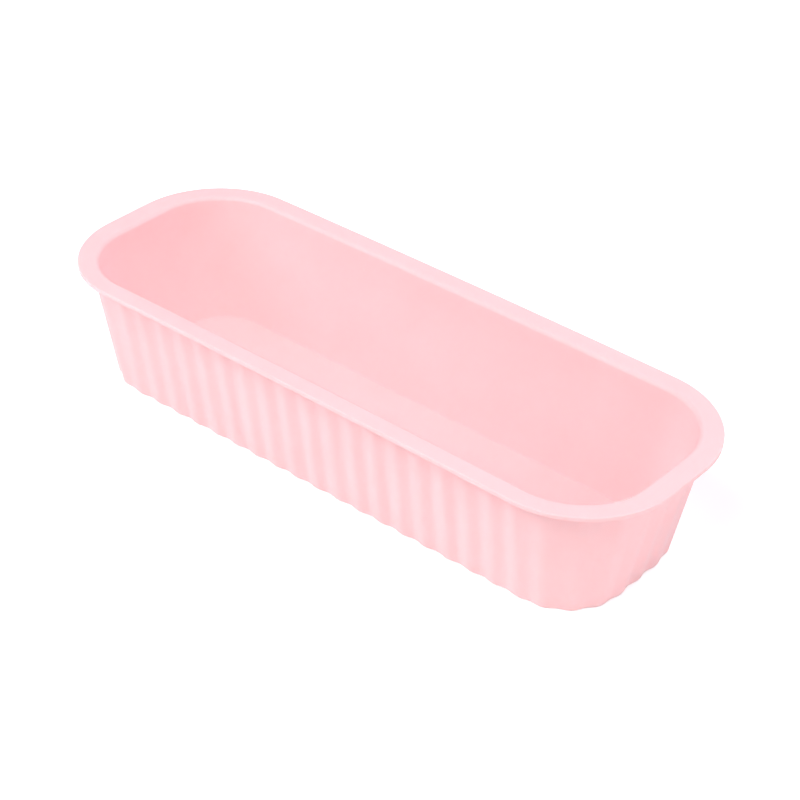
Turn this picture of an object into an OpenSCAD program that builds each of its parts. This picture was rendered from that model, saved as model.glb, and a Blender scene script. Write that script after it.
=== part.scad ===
// Soap loaf mould: one flexible silicone moulding, open at the top.
// It has a flat rim all round, straight-sided sloping walls with large round corners,
// soft upright flutes on the outside and a smooth cavity with a flat floor.
// Origin: middle of the underside. X runs along the length, Y across it, Z is up.

/* [Overall size] */
// Length over the rim
rim_length = 282; // [240:1:320]
// Width over the rim
rim_width = 102; // [96:1:120]
// Height from the underside to the top of the rim
height = 54; // [45:1:65]
// Corner radius of the rim seen from above
rim_corner_r = 40; // [38:0.5:46]

/* [Rim] */
// Thickness of the rim
rim_t = 1.9; // [1.5:0.1:2.4]
// How far the rim stands out beyond the flute crests at the ends
end_overhang = 6; // [4:0.5:8]
// How far the rim stands out beyond the flute crests along the sides
side_overhang = 5; // [3:0.5:7]
// Rounding of the rim's outer edge
rim_edge_r = 0.3; // [0.2:0.1:0.6]
// Rounding of the mouth, where the rim turns down into the cavity
mouth_r = 2; // [1:0.1:2.5]

/* [Walls] */
// Corner radius of the walls just below the rim
wall_corner_r = 33.5; // [32:0.5:36]
// Slope of the outside of the walls from upright, in degrees
draft = 9; // [6:0.5:11]
// How much further in the base comes at the ends than that slope brings it
base_lean = 1.4; // [0:0.1:3]

/* [Cavity] */
// Slope of the cavity's long walls from upright, in degrees
cavity_draft = 11.8; // [9:0.2:13]
// How much further in the cavity's ends come at the floor than that slope brings them
end_lean = 2.7; // [0:0.1:4]
// Thickness of the wall behind a flute crest, measured level at the rim
wall_t = 3.7; // [2.8:0.1:4.5]
// Thickness of the floor
floor_t = 2; // [1.6:0.1:4]
// Rounding between the floor and the walls of the cavity
cavity_edge_r = 0.6; // [0.4:0.1:2]

/* [Flutes] */
// Number of flutes in each quarter of the outline
flutes_per_quarter = 14; // [10:1:16]
// Depth of the grooves between the crests
flute_depth = 0.9; // [0.4:0.1:1.4]
// Height over which the flutes die out below the rim
flute_run_out = 3; // [2:0.5:12]
// Rounding of the bottom edge
base_edge_r = 1.2; // [0.6:0.1:2]

/* [Hidden] */
$fn = 96;

// A rounded rectangle is a core rectangle, given by its half sides, and a radius round it.
// The walls and the cavity share one core rectangle at the rim, and the rim has its own.
rim_core = [rim_length / 2 - rim_corner_r, rim_width / 2 - rim_corner_r];
core_x = rim_length / 2 - end_overhang - wall_corner_r;
core_y = rim_width / 2 - side_overhang - wall_corner_r;
rim_underside = height - rim_t;
slope = tan(draft);
base_r = wall_corner_r - rim_underside * slope;

// One quarter of the base outline: half an end, a corner and half a long side.
corner_run = base_r * PI / 2;
quarter_run = core_y + corner_run + core_x;
steps_per_flute = 6;
steps = 4 * flutes_per_quarter * steps_per_flute;

// The cavity is cut this far past the top of the rim, and its halves overlap by this much.
overcut = 1;
half_overlap = 10;

// Levels of the outside surface, each as [height, inset, share of the flute depth].
edge_steps = 3;
run_out_steps = 4;
run_out_start = rim_underside - flute_run_out;
levels = concat(
    [
        for (k = [0 : edge_steps])
            let (turn = 90 * k / edge_steps)
            [base_edge_r * (1 - cos(turn)), base_edge_r * (1 - sin(turn)), 1]
    ],
    [
        for (k = [0 : run_out_steps])
            let (share = k / run_out_steps)
            [run_out_start + flute_run_out * share, 0, (1 + cos(180 * share)) / 2]
    ]
);

// Place on a quarter of the core outline: [x, y, direction of the wall's normal].
function quarter_place(s) =
    s <= core_y ? [core_x, s, 0] :
    s < core_y + corner_run ? [core_x, core_y, 90 * (s - core_y) / corner_run] :
    [quarter_run - s, core_y, 90];

// Place on the whole outline, step by step, mirrored from quarter to quarter.
function outline_place(step) =
    let (
        along = step / steps * 4,
        quarter = floor(along),
        part = along - quarter,
        back = quarter % 2 == 1,
        place = quarter_place(quarter_run * (back ? 1 - part : part)),
        side_x = quarter == 0 || quarter == 3 ? 1 : -1,
        side_y = quarter < 2 ? 1 : -1
    )
    [side_x * place.x, side_y * place.y, side_x * cos(place.z), side_y * sin(place.z)];

// Distance of the outside surface from the core rectangle.
function crest_r(z) = base_r + z * slope;
function groove(step) = flute_depth * (1 - cos(360 * step / steps_per_flute)) / 2;

function outside_point(step, level) =
    let (
        place = outline_place(step),
        lean = 1 - base_lean / core_x * (1 - level[0] / rim_underside),
        r = crest_r(level[0]) - level[1] - level[2] * groove(step)
    )
    [place[0] * lean + place[2] * r, place[1] + place[3] * r, level[0]];

// Sweeps a profile round a core rectangle. The profile's X is the distance out from the core.
module sweep_round(core) {
    corners = [[1, 1], [-1, 1], [-1, -1], [1, -1]];
    for (i = [0 : 3])
        translate([corners[i].x * core.x, corners[i].y * core.y, 0]) {
            rotate(90 * i)
                rotate_extrude(angle = 90)
                    children();
            run = i % 2 == 0 ? 2 * core.x : 2 * core.y;
            rotate(90 * (i + 1))
                translate([0, run, 0])
                    rotate([90, 0, 0])
                        linear_extrude(run)
                            children();
        }
}

// Solid fluted body below the rim: rings of points joined by walls, closed by a fan at each end.
module fluted_body() {
    rings = len(levels);
    ring_points = [for (level = levels) for (step = [0 : steps - 1]) outside_point(step, level)];
    ends = [[0, 0, 0], [0, 0, rim_underside]];
    low_centre = rings * steps;
    high_centre = low_centre + 1;
    high_ring = low_centre - steps;
    walls = [
        for (ring = [0 : rings - 2])
            for (step = [0 : steps - 1])
                let (low = ring * steps, high = low + steps, next = (step + 1) % steps)
                [low + step, high + step, high + next, low + next]
    ];
    fans = [
        for (step = [0 : steps - 1])
            let (next = (step + 1) % steps)
            each [[low_centre, step, next], [high_centre, high_ring + next, high_ring + step]]
    ];
    polyhedron(points = concat(ring_points, ends), faces = concat(walls, fans), convexity = 6);
}

// Profile of the rim plate: rounded at its outer edge, and reaching inwards past the mouth
// rounding, which the cavity then cuts out of it.
module rim_profile() {
    inner = rim_corner_r - max(end_overhang, side_overhang) - wall_t - mouth_r;
    outer = rim_corner_r - rim_edge_r;
    translate([inner, rim_underside])
        square([outer - inner, rim_t]);
    translate([inner, rim_underside + rim_edge_r])
        square([rim_corner_r - inner, rim_t - 2 * rim_edge_r]);
    for (z = [rim_underside + rim_edge_r, height - rim_edge_r])
        translate([outer, z])
            circle(rim_edge_r);
}

// Distance of the cavity wall from the core rectangle, and the two roundings that meet it.
function cavity_r(z) = crest_r(height) - wall_t - (height - z) * tan(cavity_draft);
edge_z = floor_t + cavity_edge_r;
edge_x = cavity_r(edge_z) - cavity_edge_r / cos(cavity_draft);
mouth_z = height - mouth_r;
mouth_x = cavity_r(mouth_z) + mouth_r / cos(cavity_draft);
end_slope = end_lean / (height - floor_t);

// Profile of the cavity: sloping wall, rounded into the floor below and out to the rim above.
module cavity_profile() {
    rise = sin(cavity_draft);
    run = cos(cavity_draft);
    wall_low = [edge_x + cavity_edge_r * run, edge_z - cavity_edge_r * rise];
    wall_high = [mouth_x - mouth_r * run, mouth_z + mouth_r * rise];
    translate([edge_x, edge_z])
        circle(cavity_edge_r);
    difference() {
        polygon([
            [0, floor_t],
            [edge_x, floor_t],
            wall_low,
            wall_high,
            [mouth_x, height],
            [mouth_x, height + overcut],
            [0, height + overcut]
        ]);
        translate([mouth_x, mouth_z])
            circle(mouth_r);
    }
}

// Half of the cavity, up to its +X end: a quarter turn, a run and a block at each side.
module cavity_half() {
    for (side = [1, -1])
        mirror([0, side > 0 ? 0 : 1, 0]) {
            translate([core_x, core_y, 0])
                rotate_extrude(angle = 90)
                    cavity_profile();
            translate([-half_overlap, core_y, 0])
                rotate([90, 0, 90])
                    linear_extrude(core_x + half_overlap)
                        cavity_profile();
        }
    translate([core_x, core_y, 0])
        rotate([90, 0, 0])
            linear_extrude(2 * core_y)
                cavity_profile();
    translate([-half_overlap, -core_y, floor_t])
        cube([core_x + half_overlap, 2 * core_y, height + overcut - floor_t]);
}

// Whole cavity: the two halves, each leaning in at its end from the rim down.
module cavity() {
    for (end = [1, -1])
        multmatrix([
            [end, 0, end * end_slope, -end * end_slope * height],
            [0, 1, 0, 0],
            [0, 0, 1, 0],
            [0, 0, 0, 1]
        ])
            cavity_half();
}

// The rim plate, a flat ring that stands out beyond the walls.
module rim() {
    sweep_round(rim_core)
        rim_profile();
}

// The whole moulding.
module loaf_mould() {
    color("pink")
        difference() {
            union() {
                fluted_body();
                rim();
            }
            cavity();
        }
}

loaf_mould();
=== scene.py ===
"""Soap loaf mould: the finished look of one soft pink silicone moulding, around its CAD frame."""

import math

import bmesh
import bpy
import numpy as np
from mathutils import Matrix, Vector


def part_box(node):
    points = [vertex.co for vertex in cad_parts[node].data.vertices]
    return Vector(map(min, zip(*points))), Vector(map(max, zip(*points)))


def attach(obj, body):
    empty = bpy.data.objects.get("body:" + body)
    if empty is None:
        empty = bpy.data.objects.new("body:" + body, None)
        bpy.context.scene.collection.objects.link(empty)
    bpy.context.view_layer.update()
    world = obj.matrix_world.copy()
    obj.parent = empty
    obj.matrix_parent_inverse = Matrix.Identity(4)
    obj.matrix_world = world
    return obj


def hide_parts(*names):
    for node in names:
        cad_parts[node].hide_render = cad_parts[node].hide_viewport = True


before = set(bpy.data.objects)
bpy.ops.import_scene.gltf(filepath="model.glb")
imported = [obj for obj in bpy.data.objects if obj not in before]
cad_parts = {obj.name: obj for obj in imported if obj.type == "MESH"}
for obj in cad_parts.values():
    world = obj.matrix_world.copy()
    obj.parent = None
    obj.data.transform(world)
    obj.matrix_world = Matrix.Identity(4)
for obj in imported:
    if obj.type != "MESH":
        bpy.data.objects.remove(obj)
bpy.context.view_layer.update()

MM = 0.001
NODE = "loaf_mould"
low_corner, high_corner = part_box(NODE)
LENGTH, WIDTH, HEIGHT = (high_corner - low_corner) / MM

# Shape of the moulding, in millimetres.
RIM_CORNER_R = 40.0
RIM_T = 1.9
END_OVERHANG = 6.0
SIDE_OVERHANG = 5.0
RIM_EDGE_R = 0.3
MOUTH_R = 2.0
WALL_CORNER_R = 33.5
DRAFT = math.radians(9)
BASE_LEAN = 1.4
CAVITY_DRAFT = math.radians(11.8)
END_LEAN = 2.7
WALL_T = 3.7
FLOOR_T = 2.0
CAVITY_EDGE_R = 0.6
BASE_EDGE_R = 1.2
FLUTES_PER_QUARTER = 14
FLUTE_DEPTH = 0.9
FLUTE_RUN_OUT = 3.0

# Soft inside corner between the walls and the rim.
RIM_FILLET_R = 0.4
# On the underside the flutes fade inwards: this share of their depth is left this far in.
UNDERSIDE_FADE = 2.2
UNDERSIDE_SHARE = 0.35
# Extra rings on the two flat panels, by their distance from the core rectangle.
UNDERSIDE_RINGS = (4, 10, 16)
FLOOR_RINGS = (14, 9, 4)
# Height of the first ring above the bottom edge, and the last one's distance below the rim.
WALL_START = 3.0
WALL_STOP = 0.5
# Rings on the underside and the top of the rim, by their distance in from its edge rounding.
RIM_UNDER_RINGS = (2.0, 0.5)
RIM_TOP_RINGS = (0.4, 1.2, 2.4, 3.8)
# Rings next to the mouth rounding and the floor rounding, by their distance from the arc's centre.
MOUTH_TOP_RING = 0.4
MOUTH_WALL_RING = 1.5
FLOOR_WALL_RING = 0.4
FLOOR_RING = 0.8

# Half sides of the core rectangles that the walls and the rim are drawn round.
WALL_CORE = (LENGTH / 2 - END_OVERHANG - WALL_CORNER_R, WIDTH / 2 - SIDE_OVERHANG - WALL_CORNER_R)
RIM_CORE = (LENGTH / 2 - RIM_CORNER_R, WIDTH / 2 - RIM_CORNER_R)
RIM_UNDERSIDE = HEIGHT - RIM_T
SLOPE = math.tan(DRAFT)
BASE_R = WALL_CORNER_R - RIM_UNDERSIDE * SLOPE

# How far the soft rim has shifted sideways over its base, along X and Y.
RIM_SHIFT = (0.3, -0.36)
# How far it stands off its plane: everywhere, then by the place (u, v) across it, from -1 to 1.
RIM_LIFT = {"all": -0.12, "v": 0.42, "uu": -0.46, "vv": 0.83, "uv": -0.16, "uuvv": -0.69}

STEPS_PER_FLUTE = 16
STEPS = 4 * FLUTES_PER_QUARTER * STEPS_PER_FLUTE

# Points of the mesh closer than this, in metres, are one point.
MERGE = 2e-6

WHITE = (1, 1, 1, 1)
FLOOR_SHADE = 0.93
FLOOR_GLOW = 0.35
SKY = 0.05
# Side of each square lamp and its distance from the mould, in metres.
SOFTBOX_SIZE = 0.8
SOFTBOX_DISTANCE = 1.5
LAMP_TINT = (1.1, 1.0, 1.02)
COOL_TINT = (1.1, 1.0, 1.14)


def outline():
    """Corner shares and outward normals, evenly spaced along the base outline from +X.

    A share of 1 or -1 is a corner of the core rectangle, anything between is along a side."""
    core_x, core_y = WALL_CORE
    corner_run = BASE_R * math.pi / 2
    quarter_run = core_y + corner_run + core_x
    along = np.arange(STEPS) / STEPS * 4
    quarter = np.floor(along).astype(int)
    part = along - quarter
    run = quarter_run * np.where(quarter % 2 == 1, 1 - part, part)
    turn = np.clip((run - core_y) / corner_run, 0, 1) * math.pi / 2
    share_x = 1 - np.clip(run - core_y - corner_run, 0, core_x) / core_x
    share_y = np.clip(run, 0, core_y) / core_y
    side_x = np.where((quarter == 0) | (quarter == 3), 1, -1)
    side_y = np.where(quarter < 2, 1, -1)
    share = np.stack([share_x * side_x, share_y * side_y], axis=1)
    normal = np.stack([np.cos(turn) * side_x, np.sin(turn) * side_y], axis=1)
    return share, normal


def arc(centre_r, centre_z, radius, start, end, steps):
    """Points of an arc in the section; the angles are in degrees from level outwards."""
    angles = np.radians(np.linspace(start, end, steps + 1))
    return [(centre_r + radius * math.cos(a), centre_z + radius * math.sin(a)) for a in angles]


def crest_r(z):
    """Distance of the flute crests from the core rectangle."""
    return BASE_R + z * SLOPE


def cavity_r(z):
    """Distance of the cavity wall from the core rectangle."""
    return crest_r(HEIGHT) - WALL_T - (HEIGHT - z) * math.tan(CAVITY_DRAFT)


def flute_share(z):
    """Share of the flute depth at a height: all of it low down, none at the rim."""
    rise = np.clip((z - (RIM_UNDERSIDE - FLUTE_RUN_OUT)) / FLUTE_RUN_OUT, 0, 1)
    return (1 + math.cos(math.pi * rise)) / 2


# Each row of the section is (distance from the core, height, flute share, core X, core Y).


def panel_rows(z, core_x):
    """Closes a flat panel: the core rectangle shrinks evenly until its long sides meet."""
    core_y = WALL_CORE[1]
    shares = (1 / 3, 2 / 3, 1)
    return [(0.0, z, 0.0, core_x - core_y * share, core_y * (1 - share)) for share in shares]


def outside_rows():
    """From the middle of the underside, round the bottom edge and up to the rim."""
    lean = BASE_LEAN / RIM_UNDERSIDE
    draft_deg = math.degrees(DRAFT)
    run_out_start = RIM_UNDERSIDE - FLUTE_RUN_OUT
    edge_r = crest_r(BASE_EDGE_R) - BASE_EDGE_R / math.cos(DRAFT)
    bottom_edge = arc(edge_r, BASE_EDGE_R, BASE_EDGE_R, -90, -draft_deg, steps=6)
    wall = [(crest_r(z), z) for z in np.linspace(WALL_START, run_out_start, num=14)]
    run_out = np.linspace(run_out_start, RIM_UNDERSIDE - WALL_STOP, num=12)[1:]
    fillet_r = WALL_CORNER_R + RIM_FILLET_R
    fillet_z = RIM_UNDERSIDE - RIM_FILLET_R
    fillet = arc(fillet_r, fillet_z, RIM_FILLET_R, 180 - draft_deg, 90, steps=4)

    rows = [(r, 0, 0.0) for r in (0, *UNDERSIDE_RINGS)]
    rows += [(BASE_R - BASE_EDGE_R - UNDERSIDE_FADE, 0, UNDERSIDE_SHARE)]
    rows += [(r, z, 1.0) for r, z in bottom_edge + wall]
    rows += [(crest_r(z), z, flute_share(z)) for z in run_out]
    rows += [(r, z, 0.0) for r, z in fillet]
    core_x, core_y = WALL_CORE
    rows = [(r, z, flute, core_x - lean * (RIM_UNDERSIDE - z), core_y) for r, z, flute in rows]
    return panel_rows(0, rows[0][3])[::-1] + rows


def rim_rows():
    """Out along the underside of the rim, round its edge and back to the mouth."""
    outer = RIM_CORNER_R - RIM_EDGE_R
    rows = [(outer - inset, RIM_UNDERSIDE) for inset in RIM_UNDER_RINGS]
    rows += arc(outer, RIM_UNDERSIDE + RIM_EDGE_R, RIM_EDGE_R, -90, 0, steps=5)
    rows += arc(outer, HEIGHT - RIM_EDGE_R, RIM_EDGE_R, 0, 90, steps=6)
    rows += [(outer - inset, HEIGHT) for inset in RIM_TOP_RINGS]
    return [(*row, 0.0, *RIM_CORE) for row in rows]


def cavity_rows():
    """Over the mouth rounding, down the cavity wall and in along the floor."""
    lean = math.degrees(CAVITY_DRAFT)
    mouth_z = HEIGHT - MOUTH_R
    mouth_r = cavity_r(mouth_z) + MOUTH_R / math.cos(CAVITY_DRAFT)
    edge_z = FLOOR_T + CAVITY_EDGE_R
    edge_r = cavity_r(edge_z) - CAVITY_EDGE_R / math.cos(CAVITY_DRAFT)
    wall = np.linspace(mouth_z - MOUTH_WALL_RING, edge_z + FLOOR_WALL_RING, num=18)
    rows = [(mouth_r + MOUTH_TOP_RING, HEIGHT)]
    rows += arc(mouth_r, mouth_z, MOUTH_R, 90, 180 - lean, steps=10)
    rows += [(cavity_r(z), z) for z in wall]
    rows += arc(edge_r, edge_z, CAVITY_EDGE_R, -lean, -90, steps=5)
    rows += [(r, FLOOR_T) for r in (edge_r - FLOOR_RING, *FLOOR_RINGS, 0)]
    core_x, core_y = WALL_CORE
    end_slope = END_LEAN / (HEIGHT - FLOOR_T)
    rows = [(r, z, 0.0, core_x - end_slope * (HEIGHT - z), core_y) for r, z in rows]
    return rows + panel_rows(FLOOR_T, rows[-1][3])


def settle(x, y, z):
    """Moves points the way the soft rim has settled out of true, fading to nothing at the base."""
    u, v = x / (LENGTH / 2), y / (WIDTH / 2)
    terms = {"all": 1, "v": v, "uu": u**2, "vv": v**2, "uv": u * v, "uuvv": (u * v) ** 2}
    lift = sum(RIM_LIFT[key] * terms[key] for key in RIM_LIFT)
    fade = (z / HEIGHT) ** 2
    return x + RIM_SHIFT[0] * fade, y + RIM_SHIFT[1] * fade, z + lift * fade


def shell_points():
    """Points of the moulding, one ring for each row of the section."""
    share, normal = outline()
    rows = outside_rows() + rim_rows() + cavity_rows()
    reach_out, level, flute, core_x, core_y = np.array(rows)[:, :, None].transpose(1, 0, 2)
    groove = FLUTE_DEPTH * (1 - np.cos(2 * math.pi * np.arange(STEPS) / STEPS_PER_FLUTE)) / 2
    reach = reach_out - flute * groove
    x = core_x * share[:, 0] + reach * normal[:, 0]
    y = core_y * share[:, 1] + reach * normal[:, 1]
    z = level + 0 * reach
    return np.stack(settle(x, y, z), axis=2)


def shell_faces(rings):
    """Four-sided faces between each ring and the next."""
    ring, step = np.meshgrid(np.arange(rings - 1), np.arange(STEPS), indexing="ij")
    after = (step + 1) % STEPS
    low, high = ring * STEPS, (ring + 1) * STEPS
    walls = np.stack([low + step, low + after, high + after, high + step], axis=2)
    return walls.reshape(-1, 4).tolist()


def moulding_mesh():
    """The whole moulding as one closed mesh; points that fall together on the panels are merged."""
    points = shell_points()
    faces = shell_faces(len(points))
    mesh = bpy.data.meshes.new("fluted_shell")
    mesh.from_pydata((points.reshape(-1, 3) * MM).tolist(), [], faces)
    shell = bmesh.new()
    shell.from_mesh(mesh)
    bmesh.ops.remove_doubles(shell, verts=shell.verts, dist=MERGE)
    bmesh.ops.recalc_face_normals(shell, faces=shell.faces)
    shell.to_mesh(mesh)
    shell.free()
    for polygon in mesh.polygons:
        polygon.use_smooth = True
    return mesh


def silicone():
    """Soft matt silicone: light spreads a little under the skin; faint mottling, fine moulded grain."""
    material = bpy.data.materials.new("pink_silicone")
    material.use_nodes = True
    nodes, links = material.node_tree.nodes, material.node_tree.links
    shader = nodes["Principled BSDF"]
    place = nodes.new("ShaderNodeTexCoord")

    mottling = nodes.new("ShaderNodeTexNoise")
    mottling.inputs["Scale"].default_value = 45
    mottling.inputs["Detail"].default_value = 4
    tint = nodes.new("ShaderNodeValToRGB")
    tint.color_ramp.elements[0].position = 0.3
    tint.color_ramp.elements[0].color = (0.98, 0.64, 0.645, 1)
    tint.color_ramp.elements[1].position = 0.7
    tint.color_ramp.elements[1].color = (0.985, 0.66, 0.665, 1)

    gloss = nodes.new("ShaderNodeTexNoise")
    gloss.inputs["Scale"].default_value = 120
    gloss.inputs["Detail"].default_value = 3
    roughness = nodes.new("ShaderNodeMapRange")
    roughness.inputs["To Min"].default_value = 0.48
    roughness.inputs["To Max"].default_value = 0.62

    grain = nodes.new("ShaderNodeTexNoise")
    grain.inputs["Scale"].default_value = 2600
    grain.inputs["Detail"].default_value = 2
    bump = nodes.new("ShaderNodeBump")
    bump.inputs["Strength"].default_value = 0.12
    bump.inputs["Distance"].default_value = 0.0002

    for texture in (mottling, gloss, grain):
        links.new(place.outputs["Object"], texture.inputs["Vector"])
    links.new(mottling.outputs["Fac"], tint.inputs["Fac"])
    links.new(tint.outputs["Color"], shader.inputs["Base Color"])
    links.new(gloss.outputs["Fac"], roughness.inputs["Value"])
    links.new(roughness.outputs["Result"], shader.inputs["Roughness"])
    links.new(grain.outputs["Fac"], bump.inputs["Height"])
    links.new(bump.outputs["Normal"], shader.inputs["Normal"])

    shader.inputs["Specular IOR Level"].default_value = 0.35
    shader.inputs["IOR"].default_value = 1.41
    shader.inputs["Subsurface Weight"].default_value = 0.35
    shader.inputs["Subsurface Radius"].default_value = (1.0, 0.45, 0.4)
    shader.inputs["Subsurface Scale"].default_value = 0.003
    shader.inputs["Sheen Weight"].default_value = 0.05
    return material


def mould():
    """The one piece: it rides on the root and stands in for the CAD node."""
    piece = bpy.data.objects.new("fluted_shell", moulding_mesh())
    bpy.context.scene.collection.objects.link(piece)
    piece.data.materials.append(silicone())
    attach(piece, "root")
    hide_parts(NODE)


def white_stage(name, corners, faces, shade, glow):
    """A plain white part of the studio."""
    mesh = bpy.data.meshes.new(name)
    mesh.from_pydata(corners, [], faces)
    piece = bpy.data.objects.new(name, mesh)
    bpy.context.scene.collection.objects.link(piece)
    material = bpy.data.materials.new(name)
    material.use_nodes = True
    shader = material.node_tree.nodes["Principled BSDF"]
    shader.inputs["Base Color"].default_value = (shade, shade, shade, 1)
    shader.inputs["Roughness"].default_value = 0.9
    shader.inputs["Specular IOR Level"].default_value = 0.2
    shader.inputs["Emission Color"].default_value = WHITE
    shader.inputs["Emission Strength"].default_value = glow
    mesh.materials.append(material)
    return piece


def seen_only(piece):
    """Shows a part of the studio to the camera and keeps it from lighting or shading the mould."""
    piece.visible_diffuse = False
    piece.visible_glossy = False
    piece.visible_transmission = False
    piece.visible_shadow = False


def floor_square(name, reach, level, glow):
    """A square of floor round the middle of the stage."""
    signs = ((-1, -1), (1, -1), (1, 1), (-1, 1))
    corners = [(reach * x, reach * y, level) for x, y in signs]
    return white_stage(name, corners, [(0, 1, 2, 3)], FLOOR_SHADE, glow)


def backdrop():
    """A round white sweep far behind everything, from the floor up to a wall, in metres."""
    profile = [(0.8, -0.00005), (2.2, 0.02), (2.8, 0.15), (3.3, 0.5), (3.6, 1.2), (3.7, 4.0)]
    sides = 64
    corners = []
    for radius, level in profile:
        for side in range(sides):
            turn = 2 * math.pi * side / sides
            corners.append((radius * math.cos(turn), radius * math.sin(turn), level))
    faces = []
    for ring in range(len(profile) - 1):
        for side in range(sides):
            low, after = ring * sides, (side + 1) % sides
            faces.append((low + side, low + after, low + sides + after, low + sides + side))
    seen_only(white_stage("backdrop", corners, faces, shade=0.0, glow=1.0))


def studio_floor():
    """A floor that lights the mould, a glowing one over it that only the camera sees, a backdrop."""
    floor_square("floor_bounce", reach=4.0, level=-0.0003, glow=0.0)
    seen_only(floor_square("floor_seen", reach=1.0, level=-0.0001, glow=FLOOR_GLOW))
    backdrop()


def direction(azimuth, elevation):
    """Unit vector towards a place round the mould; azimuth 0 is in front and 90 at the right."""
    a, e = math.radians(azimuth), math.radians(elevation)
    return Vector((math.sin(a) * math.cos(e), -math.cos(a) * math.cos(e), math.sin(e)))


def softbox(name, azimuth, elevation, power, tint=LAMP_TINT):
    """A square lamp that looks at the mould; angles in degrees, power in watts."""
    light = bpy.data.lights.new(name, "AREA")
    light.shape = "SQUARE"
    light.size = SOFTBOX_SIZE
    light.energy = power
    light.color = tint
    lamp = bpy.data.objects.new(name, light)
    towards = direction(azimuth, elevation)
    lamp.location = towards * SOFTBOX_DISTANCE
    lamp.rotation_euler = (-towards).to_track_quat("-Z", "Y").to_euler()
    bpy.context.scene.collection.objects.link(lamp)


def studio_light():
    """Soft light from the front left and the right, with cooler light from the far left and back."""
    world = bpy.data.worlds.new("studio")
    world.use_nodes = True
    background = world.node_tree.nodes["Background"]
    background.inputs["Color"].default_value = WHITE
    background.inputs["Strength"].default_value = SKY
    bpy.context.scene.world = world
    softbox("left", -60, 28, 4.2, COOL_TINT)
    softbox("key", -30, 28, 4.9)
    softbox("key_high", -30, 55, 4.6)
    softbox("front_high", 0, 55, 8.7)
    softbox("right", 90, 28, 6.9)
    softbox("right_high", 90, 55, 2.3)
    softbox("back_right", 135, 55, 3.3, COOL_TINT)
    softbox("back", 180, 28, 6.1, COOL_TINT)


def camera():
    """Three-quarter view from the front right, a little above, slightly rolled."""
    azimuth, elevation, roll = 39.22, 34.10, math.radians(1.88)
    distance, lens = 0.7743, 94.98
    aim = Vector((0.03438, -0.03058, HEIGHT * MM))
    back = direction(azimuth, elevation)
    level = direction(azimuth + 90, 0)
    up = back.cross(level)
    right = level * math.cos(roll) + up * math.sin(roll)
    top = up * math.cos(roll) - level * math.sin(roll)
    data = bpy.data.cameras.new("camera")
    data.lens = lens
    data.sensor_width = 36
    eye = bpy.data.objects.new("camera", data)
    turn = Matrix((right, top, back)).transposed().to_4x4()
    eye.matrix_world = Matrix.Translation(aim + back * distance) @ turn
    bpy.context.scene.collection.objects.link(eye)
    bpy.context.scene.camera = eye


mould()
studio_floor()
studio_light()
camera()
bpy.context.scene.view_settings.view_transform = "Standard"
